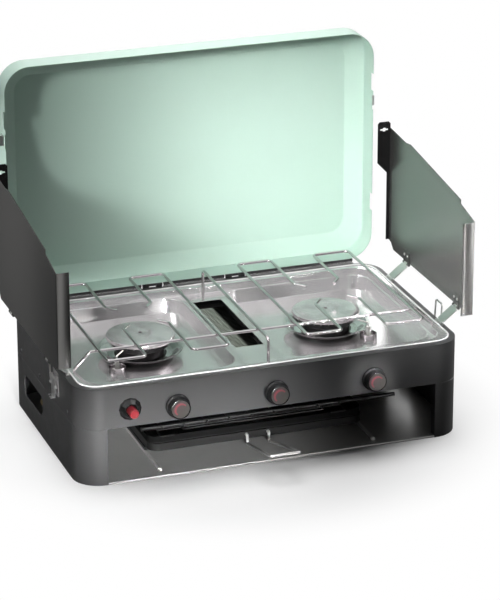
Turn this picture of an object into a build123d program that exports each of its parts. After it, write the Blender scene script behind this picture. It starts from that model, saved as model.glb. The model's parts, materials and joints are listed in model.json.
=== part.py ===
# Two burner camping stove with grill, as separate pieces. Millimetres, front is -Y, up is +Z, floor is z 0.
import os
from math import cos, radians, sin
from build123d import *

# General fits
CLEAR = 0.4
RUN_FIT = 0.08
SHEET = 1.0

# Casing
BODY_W = 560.0
BODY_D = 343.0
BODY_R = 38.0
WALL = 1.5
CASE_LOW = 5.5
SEAM_Z = 87.5
SEAM_GAP = 0.5
SEAM_LAP = 6.0
PANEL_H = 58.5
RIM_FLANGE = 14.0
POST_INSET = 41.0
POST_RETURN = 14.0
HAND_L = 96.0
HAND_INSET = 65.5
HAND_Z0 = 37.0
HAND_Z1 = 68.0
HAND_CUT = 9.0
SCREW_INSET = 53.5
SCREW_MID_Y = 20.0
SCREW_RISE = 10.5
SCREW_HEAD_R = 3.4
SCREW_SHANK_R = 1.6
SCREW_HEAD_T = 1.4
SCREW_L = 6.0

# Base plate, feet and pan rails
FLOOR_Z = 7.0
FLOOR_T = 1.2
HEM_R = 1.6
FOOT_R = 12.0
FOOT_TAPER = 2.0
FOOT_INSET = 18.0
FOOT_FRONT = 59.5
FOOT_BACK = 87.5
FOOT_MID_INSET = 21.5
RAIL_R = 2.5
RAIL_INSET = 1.0
RAIL_FRONT = 17.5
RAIL_BACK = 51.5

# Drip tray
TRAY_T = 0.8
TRAY_MARGIN = 8.5
TRAY_BEAD_R = 1.2
TRAY_FLANGE_X = 12.5
TRAY_FLANGE_Y = 11.0
PLATEAU_DROP = 9.0
WELL_DROP = 20.0
WELL_GAP = 12.0
WELL_FRONT = 26.0
WELL_MARGIN = 2.0
WELL_R = 28.0
WELL_DRAFT = 12.0
SLOT_HALF = 21.0
SLOT_FRONT = 86.0
SLOT_BACK = 32.0

# Pan rack
RACK_RISE = 30.5
RACK_WIRE_R = 2.1
RACK_BEND = 7.0
RACK_INSET = 5.0
RACK_OUTER_DX = 91.0
RACK_OUTER_LEG_DX = 36.0
RACK_INNER_LEG_DX = 30.5
RACK_INNER_DX = 82.0
RACK_TIP_Y = 42.0
RACK_TIP_DX = 12.0
RACK_TIP_DY = 15.0
RACK_BAR_INSET = 50.0
RACK_BAR_PAST = 10.0
RACK_FOOT_INSET = 8.5
RACK_MID_DX = 1.0
RACK_MID_INSET = 6.0

# Burners
BURNER_INSET = 141.0
BURNER_Y = -2.0
CAP_R = 48.5
CAP_H = 8.5
CAP_EDGE = 2.0
CAP_RIM = 2.5
HEAD_R = 40.0
HEAD_H = 27.0
HEAD_FLANGE_R = 46.0
HEAD_FLANGE_T = 3.0
HEAD_BORE = 17.0
HEAD_NECK = 6.0
HEAD_NECK_Z = 12.0
PORTS = 24
PORT_W = 2.4
PORT_DEPTH = 5.0
RING_R = 60.0
RING_H = 14.0
RING_T = 1.5
RING_LIP = 3.0
CUP_R = 30.0
CUP_H = 25.0
TUBE_R = 9.0
TUBE_FLARE_R = 11.5
TUBE_RISE = 12.0
ELECTRODE_DX = 48.0
ELECTRODE_DY = -45.0
ELECTRODE_R = 3.2
ELECTRODE_TIP = (12.0, 11.0)
SUPPORT_Y = 58.0
SUPPORT_W = 18.0
SUPPORT_T = 2.0
SUPPORT_INSET = 23.0

# Controls
KNOB_INSET = 137.5
KNOB_DROP = 35.0
KNOB_SKIRT_R = 17.0
KNOB_GRIP_R = 13.0
KNOB_SKIRT_L = 5.0
KNOB_GRIP_L = 11.0
KNOB_GAP = 4.5
KNOB_PUSH = 3.0
KNOB_ROUND = 1.2
SPINDLE_R = 3.5
COLLAR_R = 6.5
COLLAR_T = 2.0
VALVE_W = 26.0
VALVE_L = 34.0
VALVE_H = 24.0
VALVE_NECK_R = 9.0
VALVE_NECK_L = 5.0
JET_L = 5.0
GAS_PIPE_R = 6.0
GAS_PIPE_INSET = 30.0
GAS_PIPE_SETBACK = 22.0
GAS_PIPE_BEND = 12.0
INLET_STEP = 20.0
INLET_R = 4.5
INLET_GAP = 4.0
INLET_L = 14.0
PIEZO_INSET = 73.0
PIEZO_RISE = 2.5
PIEZO_R = 16.0
PIEZO_BODY_R = 10.0
PIEZO_BUTTON_R = 6.5
PIEZO_BODY_L = 40.0
PIEZO_STICK = 22.0
PIEZO_PUSH = 6.0
PIEZO_STEP = 4.0
PIEZO_ROOT = 6.0

# Grill
GRILL_X = 1.0
GRILL_HALF = 22.0
GRILL_FRONT = 16.0
GRILL_BACK = 8.0
GRILL_DROP = 10.0
PAN_X = -4.0
PAN_HALF = 158.0
PAN_R = 16.0
PAN_INSET = 61.5
PAN_RISE = 4.2
PAN_H = 21.3
PAN_T = 1.5
PAN_BEAD = 4.0
PAN_BEAD_RISE = 1.5
PAN_BEAD_H = 10.5
PAN_RUNNER_INSET = 18.0
PAN_RUNNER_T = 4.0
GRILL_BAR_R = 3.0
GRILL_BAR_PAST = 59.0
GRILL_BAR_INSET = 26.0
GRILL_BARS = 9
MESH_COLUMNS = 4
MESH_ROWS = 15
MESH_OPEN = 0.75
RACK_HOOK_R = 1.2
RACK_HOOK_X = (-141.0, -122.0, 110.0, 132.0)
RACK_HOOK_INSET = 20.0
RACK_STEP_X = (-104.0, 104.0)
RACK_STEP = 8.0
HANDLE_DX = -1.0
HANDLE_HALF = (16.0, 21.0)
HANDLE_R = 2.2
HANDLE_DROP = 4.5
HANDLE_POST_RISE = 8.5
HANDLE_REACH = 110.5
HANDLE_RISE = 28.0

# Lid
LID_INSIDE = 1.15
LID_OVER = 2.5
LID_SKIRT = 36.0
LID_DEPTH = 49.5
LID_INSET = 26.5
LID_CLOSED_GAP = 1.2
LID_LIFT = 6.5
HINGE_X = 64.0
HINGE_W = 30.0
KNUCKLE_R = 2.2
PIN_R = 1.1
LEAF_T = 1.2
LEAF_L = 30.0
KNUCKLE_MID = 5.0

# Side wings
WING_FRONT_INSET = 18.0
WING_BACK_INSET = 11.0
STRAP_FRONT = 74.5
STRAP_BACK = 83.5
STRAP_L = 32.5
STRAP_LEAN = 51.7
STRAP_W = 20.0
STRAP_T = 1.5
STRAP_PIN_INSET = 5.7
STRAP_PIN_RISE = 2.6
WING_OFFSET = 1.0
WING_REAR_H = 184.7
WING_DIP = (60.5, 179.7)
WING_CREST = (78.5, 182.2)
WING_STEP = 50.5
WING_STEP_H = (158.7, 152.7)
WING_FRONT_H = 141.7
WING_CUT = 5.0
WING_CHAMFER = 14.0
WING_HEEL = (20.0, 10.0)
WING_HEEL_H = (9.0, 11.0)
HOOK_H = (115.7, 131.7, 194.7)
HOOK_CUT = 3.0
HOOK_HOLE_H = 182.7
HOOK_HOLE_R = 3.0
HOOK_SLOT = (12.0, 2.4)
BRACKET_H = 16.0
RIVET_H = 10.0
RIVET_DY = 5.5
RIVET_R = (2.2, 1.6)
FRONT_FLANGE = 18.0
REAR_FLANGE = 5.0
TAB_GAP = 2.0
NOTCH_DEPTH = 8.5
NOTCH_SIDE = 3.0

# Side latches
LATCH_INSET = 105.5
LATCH_W = 22.0
LATCH_H = 34.0
LATCH_DROP = 8.0
LATCH_PIVOT_DROP = 16.0
LATCH_PIVOT_OUT = 4.6
LEVER_W = 15.0
LEVER_L = 29.0
LEVER_CURL = 6.0
EAR_HALF = 3.0
BAIL_R = 1.2
BAIL_DROP = 11.0
BAIL_L = 47.0
BAIL_LEAN = 3.0
BAIL_BEND = 4.0
KEEPER_OUT = 5.4
KEEPER_H = 12.0
KEEPER_HOOK_H = 2.0
KEEPER_HOOK_L = 4.0

# Places of the casing, base and hand holes
HALF_W = BODY_W / 2
HALF_D = BODY_D / 2
RIM_Z = SEAM_Z + PANEL_H
POST_X = HALF_W - POST_INSET
PANEL_IN = -HALF_D + WALL
HAND_Y1 = HALF_D - HAND_INSET
HAND_Y0 = HAND_Y1 - HAND_L
SCREW_Y = (-HALF_D + SCREW_INSET, SCREW_MID_Y, HALF_D - SCREW_INSET)
SCREW_Z = SEAM_Z + SCREW_RISE
FLOOR_TOP = FLOOR_Z + FLOOR_T
FOOT_X = HALF_W - FOOT_INSET
FOOT_Y = (-HALF_D + FOOT_FRONT, HALF_D - FOOT_BACK)
FOOT_MID_Y = HALF_D - FOOT_MID_INSET

# Places of the tray, rack and burners
TRAY_X = HALF_W - TRAY_MARGIN
TRAY_Y = HALF_D - TRAY_MARGIN
TRAY_R = BODY_R - TRAY_MARGIN
TRAY_TOP = RIM_Z + TRAY_T
RECESS_X = TRAY_X - TRAY_FLANGE_X
RECESS_Y = TRAY_Y - TRAY_FLANGE_Y
PLATEAU_Z = RIM_Z - PLATEAU_DROP
WELL_Z = PLATEAU_Z - WELL_DROP
WELL_X0 = SLOT_HALF + WELL_GAP
WELL_Y0 = -RECESS_Y + WELL_FRONT
SLOT_X0 = GRILL_X - SLOT_HALF
SLOT_X1 = GRILL_X + SLOT_HALF
SLOT_Y0 = -RECESS_Y + SLOT_FRONT
SLOT_Y1 = RECESS_Y - SLOT_BACK
BURNER_X = HALF_W - BURNER_INSET
HEAD_Z = WELL_Z + HEAD_H
CAP_Z = HEAD_Z + CAP_H
RING_Z = WELL_Z + RING_H
CUP_Z = WELL_Z - CUP_H
TUBE_Z = CUP_Z + TUBE_RISE
SUPPORT_X = RECESS_X - SUPPORT_INSET
RACK_Z = RIM_Z + RACK_RISE
RACK_Y = RECESS_Y - RACK_INSET
RACK_OUTER = BURNER_X + RACK_OUTER_DX
RACK_OUTER_LEG = BURNER_X + RACK_OUTER_LEG_DX
RACK_INNER_LEG = BURNER_X - RACK_INNER_LEG_DX
RACK_INNER = BURNER_X - RACK_INNER_DX
RACK_BAR_Y = -RACK_Y + RACK_BAR_INSET
RACK_BAR_X = RACK_OUTER + RACK_BAR_PAST
RACK_FOOT_X = TRAY_X - RACK_FOOT_INSET
RACK_MID_X = GRILL_X + RACK_MID_DX
RACK_MID_Y = RACK_Y - RACK_MID_INSET

# Places of the controls and gas pipe
KNOB_PITCH = HALF_W - KNOB_INSET
KNOB_X = (GRILL_X - KNOB_PITCH, GRILL_X, GRILL_X + KNOB_PITCH)
KNOB_Z = RIM_Z - KNOB_DROP
GAS_PIPE_X = HALF_W - GAS_PIPE_INSET
GAS_PIPE_Y = PANEL_IN + GAS_PIPE_SETBACK
INLET_Y = HAND_Y0 + INLET_STEP
INLET_Z = (HAND_Z0 + HAND_Z1) / 2
INLET_TIP = HALF_W - INLET_GAP
PIEZO_X = -HALF_W + PIEZO_INSET
PIEZO_Z = KNOB_Z + PIEZO_RISE

# Places of the grill and its pan
GRILL_X0 = GRILL_X - GRILL_HALF
GRILL_X1 = GRILL_X + GRILL_HALF
GRILL_Y0 = SLOT_Y0 - GRILL_FRONT
GRILL_Y1 = SLOT_Y1 - GRILL_BACK
GRILL_Z1 = PLATEAU_Z - GRILL_DROP
RAIL_X = (PAN_X - PAN_HALF + RAIL_INSET, PAN_X + PAN_HALF - RAIL_INSET)
RAIL_Y0 = -HALF_D + RAIL_FRONT
RAIL_Y1 = HALF_D - RAIL_BACK
RAIL_Z = FLOOR_TOP + RAIL_R - HEM_R / 4
RAIL_TOP = RAIL_Z + RAIL_R
PAN_Y0 = -HALF_D + PAN_INSET
PAN_Y1 = HALF_D - PAN_INSET
PAN_Z0 = RAIL_TOP + PAN_RISE
PAN_Z1 = PAN_Z0 + PAN_H
PAN_RUNNER_Y = PAN_Y1 - PAN_RUNNER_INSET
GRILL_BAR_Z = PAN_Z1 + GRILL_BAR_R
RACK_HOOK_Z = PAN_Z1 + RACK_HOOK_R
GRILL_BAR_END = PAN_X + PAN_HALF + GRILL_BAR_PAST
HANDLE_X = PAN_X + HANDLE_DX
HANDLE_Z = PAN_Z0 - HANDLE_DROP
HANDLE_POST_Z = PAN_Z0 + HANDLE_POST_RISE

# Places of the lid, wings and latches
LID_HALF = HALF_W - LID_INSIDE
LID_W = 2 * LID_HALF
LID_FACE_Y = HALF_D + LID_OVER
LID_L = 2 * LID_FACE_Y
LID_R = BODY_R
LID_BOT = RIM_Z + LID_LIFT
LID_CLOSED_Z = RIM_Z + LID_CLOSED_GAP
LID_MID_Z = LID_BOT + LID_L / 2
HINGE_Z = (LID_BOT + LID_CLOSED_Z) / 2
HINGE_Y = LID_FACE_Y + LID_BOT - HINGE_Z
WING_Y0 = -HALF_D + WING_FRONT_INSET
WING_Y1 = HALF_D - WING_BACK_INSET
WING_STEP_Y = WING_Y0 + WING_STEP
STRAP_Y = (-HALF_D + STRAP_FRONT, HALF_D - STRAP_BACK)
STRAP_PIN_X = HALF_W - STRAP_PIN_INSET
STRAP_PIN_Z = RIM_Z + STRAP_PIN_RISE
STRAP_DX = STRAP_L * sin(radians(STRAP_LEAN))
STRAP_DZ = STRAP_L * cos(radians(STRAP_LEAN))
WING_PIN_X = STRAP_PIN_X + STRAP_DX
WING_PIN_Z = STRAP_PIN_Z + STRAP_DZ
WING_X = WING_PIN_X + WING_OFFSET
WING_LOW = WING_PIN_Z + KNUCKLE_R + CLEAR
TAB_IN = LID_HALF + TAB_GAP
KNUCKLE_IN = KNUCKLE_MID + CLEAR
KNUCKLE_OUT = STRAP_W / 2
LATCH_Y = -HALF_D + LATCH_INSET
LATCH_Z1 = RIM_Z - LATCH_DROP
LATCH_Z0 = LATCH_Z1 - LATCH_H
LATCH_PIVOT_X = HALF_W + LATCH_PIVOT_OUT
LATCH_PIVOT_Z = RIM_Z - LATCH_PIVOT_DROP
LEVER_LOW_Z = LATCH_PIVOT_Z - LEVER_L
BAIL_PIVOT_Z = LATCH_PIVOT_Z - BAIL_DROP
BAIL_TOP_Z = BAIL_PIVOT_Z + BAIL_L

os.makedirs("parts", exist_ok=True)


def save(builder, name):
    builder.part.label = name
    export_step(builder.part, f"parts/{name}.step")


def block(x0, x1, y0, y1, z0, z1, mode=Mode.ADD):
    with Locations(((x0 + x1) / 2, (y0 + y1) / 2, (z0 + z1) / 2)):
        Box(abs(x1 - x0), abs(y1 - y0), abs(z1 - z0), mode=mode)


def rod(start, end, radius, mode=Mode.ADD):
    axis = Vector(*end) - Vector(*start)
    with BuildSketch(Plane(origin=start, z_dir=axis)) as disc:
        Circle(radius)
    extrude(disc.sketch, amount=axis.length, mode=mode)


def cone(start, end, r0, r1, mode=Mode.ADD):
    axis = Vector(*end) - Vector(*start)
    with BuildSketch(Plane(origin=start, z_dir=axis)) as first:
        Circle(r0)
    with BuildSketch(Plane(origin=end, z_dir=axis)) as last:
        Circle(r1)
    loft([first.sketch.face(), last.sketch.face()], mode=mode)


def wire(points, radius, bend):
    with BuildLine() as path:
        FilletPolyline(*points, radius=bend)
    with BuildSketch(Plane(origin=path.line @ 0, z_dir=path.line % 0)) as section:
        Circle(radius)
    sweep(section.sketch, path=path.line)


def rounded(x_size, y_size, radius, z0, z1, mode=Mode.ADD):
    with BuildSketch(Plane.XY.offset(z0)) as outline:
        RectangleRounded(x_size, y_size, radius)
    extrude(outline.sketch, amount=z1 - z0, mode=mode)


def plate(points, plane, thickness, mode=Mode.ADD):
    with BuildSketch(plane) as outline:
        with BuildLine():
            Polyline(*points, close=True)
        make_face()
    extrude(outline.sketch, amount=thickness, mode=mode)


def turned(points, origin, mode=Mode.ADD):
    with BuildSketch(Plane(origin=origin, x_dir=(1, 0, 0), z_dir=(0, -1, 0))) as profile:
        with BuildLine():
            Polyline(*points, close=True)
        make_face()
    revolve(profile.sketch, axis=Axis(origin, (0, 0, 1)), mode=mode)


def side_plane(x):
    return Plane(origin=(x, 0, 0), x_dir=(0, 1, 0), z_dir=(1, 0, 0))


def front_plane(y):
    return Plane(origin=(0, y, 0), x_dir=(1, 0, 0), z_dir=(0, -1, 0))


def closed_block(x0, x1, y0, y1, z0, z1, mode=Mode.ADD):
    turned_y = HINGE_Y - HINGE_Z
    turned_z = HINGE_Y + HINGE_Z
    block(x0, x1, z0 + turned_y, z1 + turned_y, turned_z - y1, turned_z - y0, mode)


# Lower casing with corner posts and side hand holes
hand_hole = [
    (HAND_Y0 + HAND_CUT, HAND_Z0),
    (HAND_Y1 - HAND_CUT / 2, HAND_Z0),
    (HAND_Y1, HAND_Z0 + HAND_CUT / 2),
    (HAND_Y1, HAND_Z1 - HAND_CUT),
    (HAND_Y1 - HAND_CUT, HAND_Z1),
    (HAND_Y0 + HAND_CUT / 2, HAND_Z1),
    (HAND_Y0, HAND_Z1 - HAND_CUT / 2),
    (HAND_Y0, HAND_Z0 + HAND_CUT),
]
with BuildPart() as lower_casing:
    rounded(BODY_W, BODY_D, BODY_R, CASE_LOW, SEAM_Z - SEAM_GAP)
    rounded(BODY_W - 2 * WALL, BODY_D - 2 * WALL, BODY_R - WALL, CASE_LOW, SEAM_Z, Mode.SUBTRACT)
    block(-POST_X, POST_X, -HALF_D - WALL, -HALF_D + 2 * WALL, 0, SEAM_Z, Mode.SUBTRACT)
    for side in (-1, 1):
        x_in = side * POST_X
        x_out = side * (POST_X + WALL)
        block(x_in, x_out, -HALF_D, -HALF_D + POST_RETURN, FLOOR_TOP, SEAM_Z - SEAM_GAP)
    lap_w = BODY_W - 2 * WALL
    lap_d = BODY_D - 2 * WALL
    lap_r = BODY_R - WALL
    with BuildSketch(Plane.XY.offset(SEAM_Z - SEAM_LAP)) as lap:
        RectangleRounded(lap_w, lap_d, lap_r)
        RectangleRounded(lap_w - 2 * SHEET, lap_d - 2 * SHEET, lap_r - SHEET, mode=Mode.SUBTRACT)
        with Locations((0, -HALF_D)):
            Rectangle(2 * POST_X, 2 * POST_RETURN, mode=Mode.SUBTRACT)
    extrude(lap.sketch, amount=2 * SEAM_LAP)
    plate(hand_hole, side_plane(-BODY_W), 2 * BODY_W, Mode.SUBTRACT)
save(lower_casing, "lower_casing")

# Base plate with rolled front edge
with BuildPart() as base_plate:
    rounded(BODY_W - 2 * WALL, BODY_D - 2 * WALL, BODY_R - WALL, FLOOR_Z, FLOOR_TOP)
    block(-POST_X, POST_X, -HALF_D + HEM_R, -HALF_D + 2 * HEM_R, FLOOR_Z, FLOOR_TOP)
    rod((-POST_X, -HALF_D + HEM_R, FLOOR_Z), (POST_X, -HALF_D + HEM_R, FLOOR_Z), HEM_R)
save(base_plate, "base_plate")

# Rubber feet
foot_spots = [(x, y) for x in (-FOOT_X, FOOT_X) for y in FOOT_Y]
foot_spots += [(0, -FOOT_MID_Y), (0, FOOT_MID_Y)]
with BuildPart() as feet:
    for x, y in foot_spots:
        cone((x, y, 0), (x, y, FLOOR_Z), FOOT_R - FOOT_TAPER, FOOT_R)
save(feet, "feet")

# Wire rails that carry the grill pan
with BuildPart() as pan_rails:
    for x in RAIL_X:
        rod((x, RAIL_Y0, RAIL_Z), (x, RAIL_Y1, RAIL_Z), RAIL_R)
        with Locations((x, RAIL_Y0, RAIL_Z)):
            Sphere(RAIL_R)
    block(-HALF_W, HALF_W, -HALF_D, HALF_D, 0, FLOOR_TOP, Mode.SUBTRACT)
save(pan_rails, "pan_rails")

# Upper casing with control panel and top flange
side_screws = [(side, y) for side in (-1, 1) for y in SCREW_Y]
with BuildPart() as upper_casing:
    rounded(BODY_W, BODY_D, BODY_R, SEAM_Z, RIM_Z)
    inner_w = BODY_W - 2 * WALL
    inner_d = BODY_D - 2 * WALL
    rounded(inner_w, inner_d, BODY_R - WALL, SEAM_Z, RIM_Z - WALL, Mode.SUBTRACT)
    mouth_w = BODY_W - 2 * RIM_FLANGE
    mouth_d = BODY_D - 2 * RIM_FLANGE
    rounded(mouth_w, mouth_d, BODY_R - RIM_FLANGE, SEAM_Z, RIM_Z + WALL, Mode.SUBTRACT)
    for x in KNOB_X:
        rod((x, -HALF_D - WALL, KNOB_Z), (x, PANEL_IN + WALL, KNOB_Z), COLLAR_R - COLLAR_T, Mode.SUBTRACT)
    piezo_front = (PIEZO_X, -HALF_D - WALL, PIEZO_Z)
    rod(piezo_front, (PIEZO_X, PANEL_IN + WALL, PIEZO_Z), PIEZO_BODY_R, Mode.SUBTRACT)
    for side, y in side_screws:
        start = (side * (HALF_W - 2 * WALL), y, SCREW_Z)
        rod(start, (side * (HALF_W + WALL), y, SCREW_Z), SCREW_SHANK_R, Mode.SUBTRACT)
save(upper_casing, "upper_casing")

with BuildPart() as case_screws:
    for side, y in side_screws:
        surface = (side * HALF_W, y, SCREW_Z)
        rod((side * (HALF_W - SCREW_L), y, SCREW_Z), surface, SCREW_SHANK_R)
        cone(surface, (side * (HALF_W + SCREW_HEAD_T), y, SCREW_Z), SCREW_HEAD_R, SCREW_HEAD_R * 0.7)
save(case_screws, "case_screws")

# Cross rails hung under the tray that carry the burners
with BuildPart() as support_rails:
    for y in (-SUPPORT_Y, SUPPORT_Y):
        y0 = y - SUPPORT_W / 2
        y1 = y + SUPPORT_W / 2
        block(-SUPPORT_X, SUPPORT_X, y0, y1, CUP_Z - SUPPORT_T, CUP_Z)
        for side in (-1, 1):
            x_leg = side * (SUPPORT_X - SUPPORT_T)
            block(x_leg, side * SUPPORT_X, y0, y1, CUP_Z - SUPPORT_T, WELL_Z - TRAY_T)
save(support_rails, "support_rails")


# Pressed drip tray with two wells, a middle plateau and a vent slot
def pressed(x_mid, y_mid, x_size, y_size, radius, z_top, z_low, mode):
    top = Plane(origin=(x_mid, y_mid, z_top), x_dir=(1, 0, 0), z_dir=(0, 0, -1))
    with BuildSketch(top) as outline:
        RectangleRounded(x_size, y_size, radius)
    extrude(outline.sketch, amount=z_top - z_low, taper=WELL_DRAFT, mode=mode)


def pressed_wells(grow, mode):
    recess = (2 * (RECESS_X + grow), 2 * (RECESS_Y + grow))
    pressed(0, 0, *recess, WELL_R + grow, TRAY_TOP, PLATEAU_Z - grow, mode)
    well_x1 = RECESS_X - 2 * WELL_MARGIN
    well_w = well_x1 - WELL_X0 + 2 * grow
    well_y1 = RECESS_Y - 2 * WELL_MARGIN
    well_d = well_y1 - WELL_Y0 + 2 * grow
    y_mid = (WELL_Y0 + well_y1) / 2
    for side in (-1, 1):
        x_mid = side * (WELL_X0 + well_x1) / 2
        pressed(x_mid, y_mid, well_w, well_d, WELL_R + grow, PLATEAU_Z, WELL_Z - grow, mode)


with BuildPart() as drip_tray:
    rounded(2 * TRAY_X, 2 * TRAY_Y, TRAY_R, RIM_Z, TRAY_TOP)
    rounded(2 * TRAY_X, 2 * TRAY_Y, TRAY_R, TRAY_TOP, RIM_Z + 2 * TRAY_BEAD_R)
    bead_in = 2 * TRAY_BEAD_R
    bead_x = 2 * (TRAY_X - bead_in)
    bead_y = 2 * (TRAY_Y - bead_in)
    rounded(bead_x, bead_y, TRAY_R - bead_in, TRAY_TOP, RIM_Z + 3 * TRAY_BEAD_R, Mode.SUBTRACT)
    bead_edges = drip_tray.edges().group_by(Axis.Z)[-1]
    fillet(bead_edges, TRAY_BEAD_R * 0.8)
    pressed_wells(TRAY_T, Mode.ADD)
    pressed_wells(0, Mode.SUBTRACT)
    block(SLOT_X0, SLOT_X1, SLOT_Y0, SLOT_Y1, WELL_Z, TRAY_TOP, Mode.SUBTRACT)
    for side in (-1, 1):
        x = side * BURNER_X
        rod((x, BURNER_Y, CUP_Z), (x, BURNER_Y, PLATEAU_Z), CUP_R - WALL, Mode.SUBTRACT)
save(drip_tray, "drip_tray")

# Lift off wire rack for pans
with BuildPart() as pan_rack:
    tip_end = RACK_TIP_Y - RACK_TIP_DY
    for side in (-1, 1):
        for leg, far, turn in ((RACK_OUTER_LEG, RACK_OUTER, -1), (RACK_INNER_LEG, RACK_INNER, 1)):
            tip_x = side * (leg + turn * RACK_TIP_DX)
            half = [(tip_x, tip_end), (side * leg, RACK_TIP_Y), (side * leg, RACK_Y), (side * far, RACK_Y)]
            loop = half + [(x, -y) for x, y in reversed(half)]
            wire([(x, y, RACK_Z) for x, y in loop], RACK_WIRE_R, RACK_BEND)
    bar_z = RACK_Z - 1.9 * RACK_WIRE_R
    bar_rise = bar_z - (RACK_FOOT_X - RACK_BAR_X)
    bar_half = [(RACK_FOOT_X, TRAY_TOP), (RACK_FOOT_X, bar_rise), (RACK_BAR_X, bar_z)]
    bar = [(-x, z) for x, z in bar_half] + list(reversed(bar_half))
    wire([(x, RACK_BAR_Y, z) for x, z in bar], RACK_WIRE_R, RACK_BEND / 2)
    stand = [(-RACK_MID_Y, PLATEAU_Z), (-RACK_MID_Y, RACK_Z), (RACK_MID_Y, RACK_Z), (RACK_MID_Y, PLATEAU_Z)]
    wire([(RACK_MID_X, y, z) for y, z in stand], RACK_WIRE_R, RACK_BEND)
save(pan_rack, "pan_rack")

# Two top burners
for side, hand in ((-1, "left"), (1, "right")):
    centre = (side * BURNER_X, BURNER_Y, 0)
    bx = side * BURNER_X
    with BuildPart() as burner_cap:
        cap_edge = HEAD_Z + CAP_EDGE
        cap_in = CAP_R - CAP_EDGE
        dome = [(0, HEAD_Z), (cap_in, HEAD_Z), (CAP_R, cap_edge), (CAP_R, cap_edge + CAP_RIM)]
        dome += [(cap_in, CAP_Z - CAP_EDGE), (CAP_R * 0.7, CAP_Z - 0.3 * CAP_EDGE)]
        dome += [(CAP_R * 0.35, CAP_Z), (0, CAP_Z)]
        turned(dome, centre)
    save(burner_cap, f"burner_cap_{hand}")

    flange_top = WELL_Z + HEAD_FLANGE_T
    with BuildPart() as burner_head:
        shape = [(HEAD_BORE, WELL_Z), (HEAD_FLANGE_R, WELL_Z), (HEAD_FLANGE_R, flange_top)]
        neck_r = HEAD_R - HEAD_NECK
        neck_z = HEAD_Z - HEAD_NECK_Z
        shape += [(neck_r, flange_top), (neck_r, neck_z), (HEAD_R, neck_z + HEAD_NECK / 2)]
        shape += [(HEAD_R, HEAD_Z), (HEAD_BORE, HEAD_Z)]
        turned(shape, centre)
        port_z = HEAD_Z - PORT_DEPTH / 2
        with Locations((bx, BURNER_Y, port_z)):
            with PolarLocations((HEAD_R + HEAD_BORE) / 2, PORTS):
                Box(HEAD_R - HEAD_BORE + 2 * WALL, PORT_W, PORT_DEPTH, mode=Mode.SUBTRACT)
    save(burner_head, f"burner_head_{hand}")

    with BuildPart() as burner_ring:
        ring_in = HEAD_R - HEAD_NECK / 2
        lip = RING_R - RING_LIP
        lip_z = RING_Z - RING_T
        dish_z = flange_top + RING_T
        dish = [(ring_in, flange_top), (HEAD_FLANGE_R, flange_top), (lip, lip_z), (RING_R, lip_z)]
        dish += [(RING_R, RING_Z), (lip - SHEET, RING_Z), (HEAD_FLANGE_R - SHEET, dish_z)]
        dish += [(ring_in, dish_z)]
        turned(dish, centre)
    save(burner_ring, f"burner_ring_{hand}")

    ex = bx + side * ELECTRODE_DX
    ey = BURNER_Y + ELECTRODE_DY
    with BuildPart() as electrode:
        post_z = RING_Z + ELECTRODE_R
        rod((ex, ey, WELL_Z), (ex, ey, post_z), ELECTRODE_R)
        rod((ex, ey, WELL_Z), (ex, ey, WELL_Z + ELECTRODE_R), 2 * ELECTRODE_R)
        tip_x = ex - side * ELECTRODE_TIP[0]
        tip_y = ey + ELECTRODE_TIP[1]
        knee_z = HEAD_Z - 2 * CAP_EDGE
        spark = [(ex, ey, post_z), (ex, ey, knee_z), (tip_x, tip_y, HEAD_Z - CAP_EDGE)]
        wire(spark, ELECTRODE_R / 3, ELECTRODE_R / 2)
    save(electrode, f"electrode_{hand}")

# Cups and mixing tubes under the top burners
cup_top = WELL_Z - TRAY_T
tube_front = GAS_PIPE_Y + VALVE_L
with BuildPart() as burner_cups:
    for bx in (-BURNER_X, BURNER_X):
        rod((bx, BURNER_Y, CUP_Z), (bx, BURNER_Y, cup_top), CUP_R)
        rod((bx, BURNER_Y, CUP_Z + WALL), (bx, BURNER_Y, cup_top), CUP_R - WALL, Mode.SUBTRACT)
        rod((bx, BURNER_Y, TUBE_Z), (bx, BURNER_Y - CUP_R, TUBE_Z), TUBE_R, Mode.SUBTRACT)
save(burner_cups, "burner_cups")


def mixing_tube(x, y_back):
    rod((x, y_back, TUBE_Z), (x, tube_front + TUBE_R, TUBE_Z), TUBE_R)
    cone((x, tube_front + TUBE_R, TUBE_Z), (x, tube_front, TUBE_Z), TUBE_R, TUBE_FLARE_R)
    rod((x, y_back, TUBE_Z), (x, tube_front, TUBE_Z), TUBE_R - WALL, Mode.SUBTRACT)


with BuildPart() as mixing_tubes:
    for bx in (-BURNER_X, BURNER_X):
        mixing_tube(bx, BURNER_Y - CUP_R + 2 * WALL)
save(mixing_tubes, "mixing_tubes")

# Grill burner under the vent slot
with BuildPart() as grill_burner:
    block(GRILL_X0, GRILL_X1, GRILL_Y0, GRILL_Y1, CUP_Z, GRILL_Z1)
    hollow_x = (GRILL_X0 + WALL, GRILL_X1 - WALL)
    hollow_y = (GRILL_Y0 + WALL, GRILL_Y1 - WALL)
    block(*hollow_x, *hollow_y, CUP_Z - WALL, GRILL_Z1, Mode.SUBTRACT)
    tube_in = (KNOB_X[1], GRILL_Y0 + 2 * WALL, TUBE_Z)
    rod((KNOB_X[1], GRILL_Y0 - WALL, TUBE_Z), tube_in, TUBE_R, Mode.SUBTRACT)
save(grill_burner, "grill_burner")

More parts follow.
